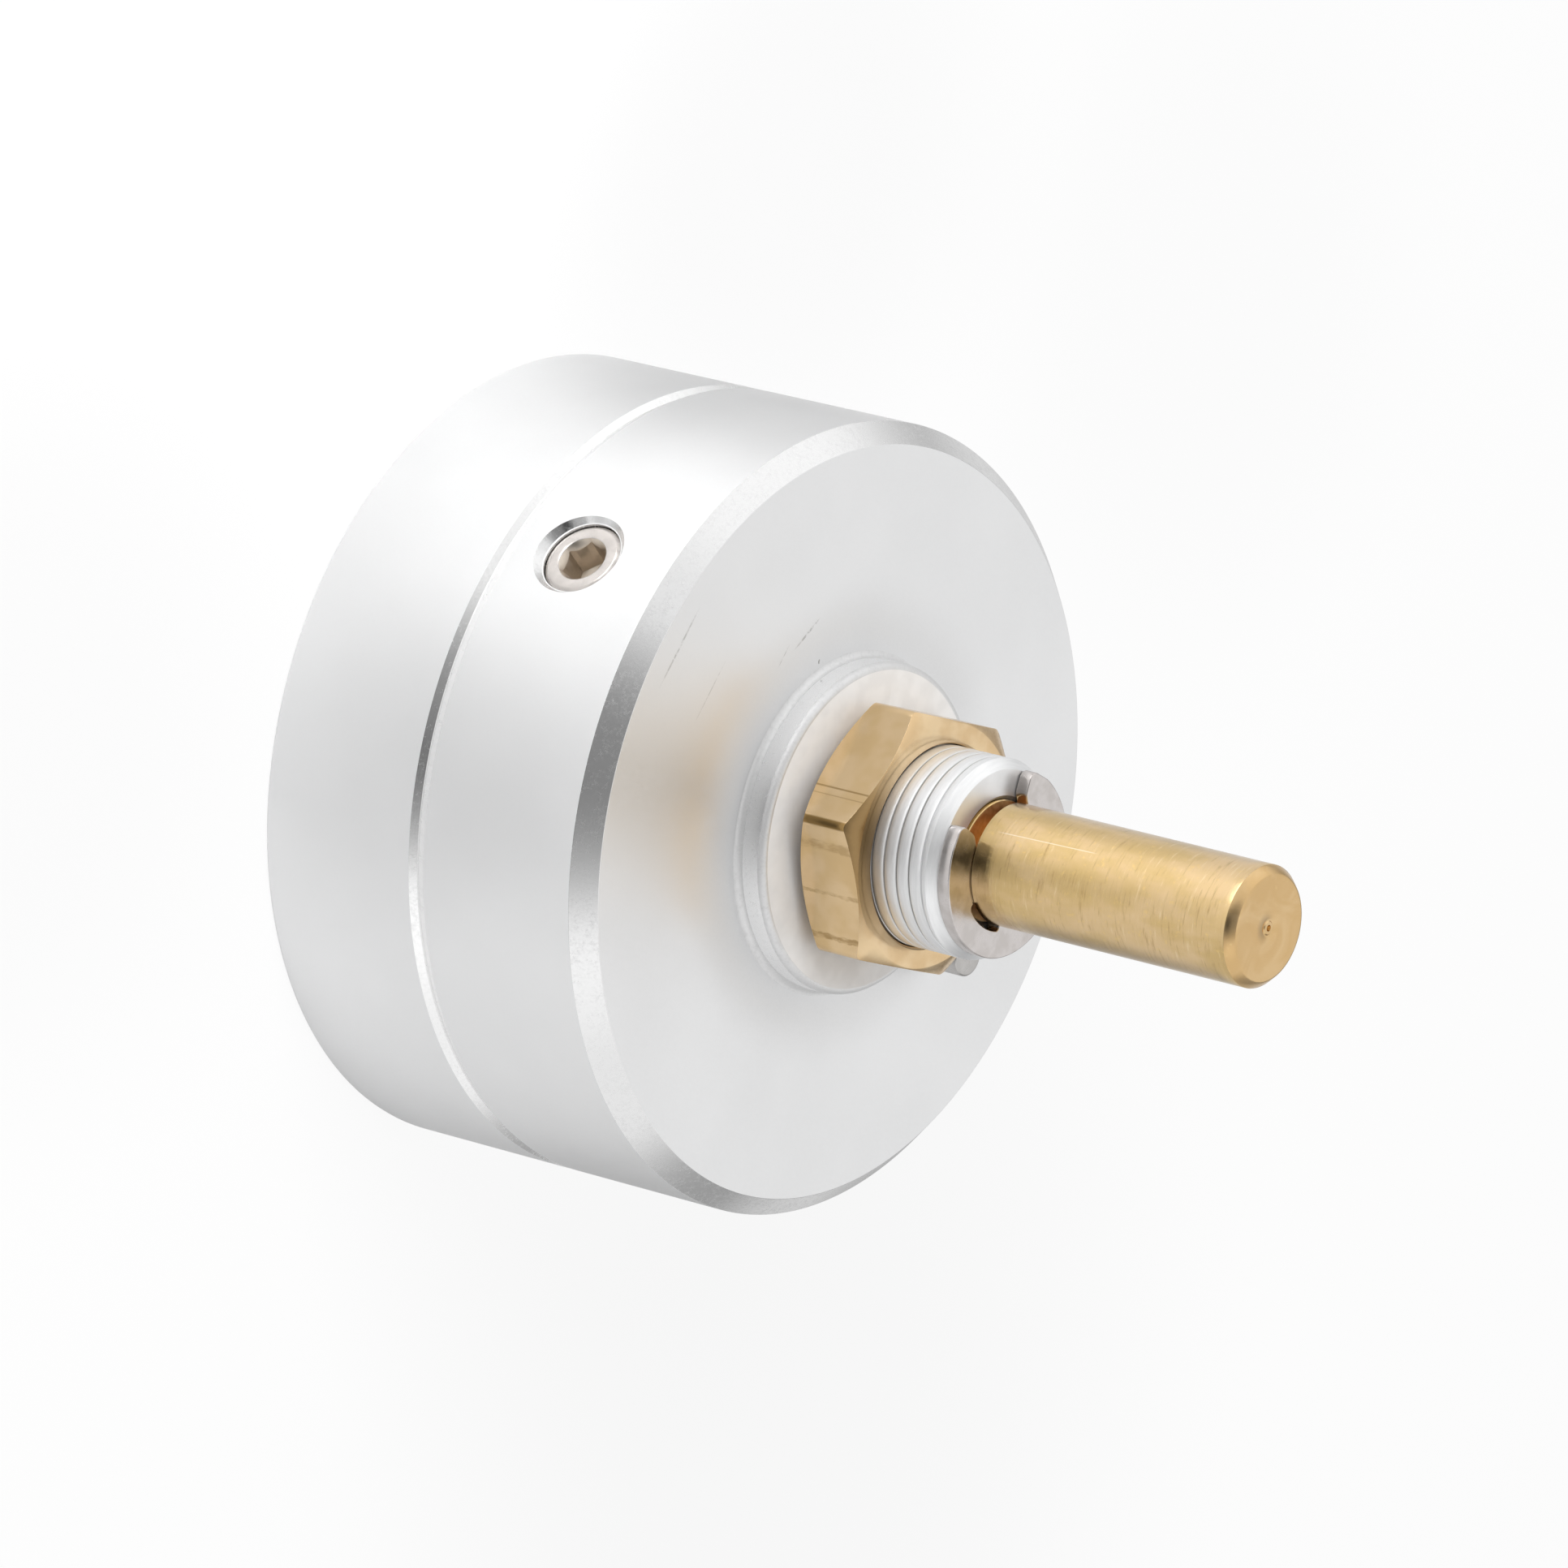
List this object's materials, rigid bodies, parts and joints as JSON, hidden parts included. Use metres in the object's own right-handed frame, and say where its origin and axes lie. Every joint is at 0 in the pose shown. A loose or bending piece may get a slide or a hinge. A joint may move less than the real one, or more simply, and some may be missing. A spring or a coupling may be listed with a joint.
{
  "type": "rotary selector switch",
  "caption": "Shielded rotary selector switch: round two-part metal case, threaded panel bush with hexagon nut, plain round shaft, locating pin, cable outlet at the rear.",
  "frame": {"origin": "centre of the panel seat, the raised ring face that bears on the back of the panel, on the shaft axis", "axes": "+Z along the shaft, out through the panel; +X towards the set screw beside the seam; the locating pin stands on the -X side"},
  "size_m": [0.0392, 0.0392, 0.0456],
  "materials": {
    "case": "fine satin",
    "shaft_brass": "turned, slightly tarnished",
    "nut_brass": "milled, lightly scratched",
    "clip_steel": "stamped, bright",
    "pin_steel": "ground",
    "screw_steel": "stainless, turned",
    "grommet_rubber": "matt",
    "washer_bronze": "bright",
    "wheel_acetal": "machined",
    "rotor_plastic": "moulded",
    "board_laminate": "glass cloth laminate",
    "contact_silver": "silver plated"
  },
  "bodies": {
    "case": {"front_housing": "case", "rear_cover": "case", "cable_grommet": "grommet_rubber", "set_screws": "screw_steel", "locating_pin": "pin_steel", "hex_nut": "nut_brass", "detent_spring": "clip_steel", "spring_posts": "pin_steel", "stop_pin": "pin_steel", "stator_board": "board_laminate", "deck_spacers": "pin_steel", "deck_washers": "clip_steel", "deck_screws": "screw_steel", "pole_ring_a": "contact_silver", "pole_ring_b": "contact_silver", "contact_a1": "contact_silver", "contact_a2": "contact_silver", "contact_a3": "contact_silver", "contact_a4": "contact_silver", "contact_a5": "contact_silver", "contact_a6": "contact_silver", "contact_b1": "contact_silver", "contact_b2": "contact_silver", "contact_b3": "contact_silver", "contact_b4": "contact_silver", "contact_b5": "contact_silver", "contact_b6": "contact_silver"},
    "spindle": {"shaft": "shaft_brass", "retaining_clip": "clip_steel", "thrust_washer": "washer_bronze", "index_wheel": "wheel_acetal", "rotor": "rotor_plastic", "wiper_a": "contact_silver", "wiper_b": "contact_silver", "rotor_clip": "clip_steel"}
  },
  "joints": [
    {"name": "selector_turn", "type": "hinge", "parent": "case", "child": "spindle", "pos_m": [0, 0, 0], "axis": [0, 0, 1], "range_deg": [0, 150], "deforming": ["detent_spring"]}
  ]
}
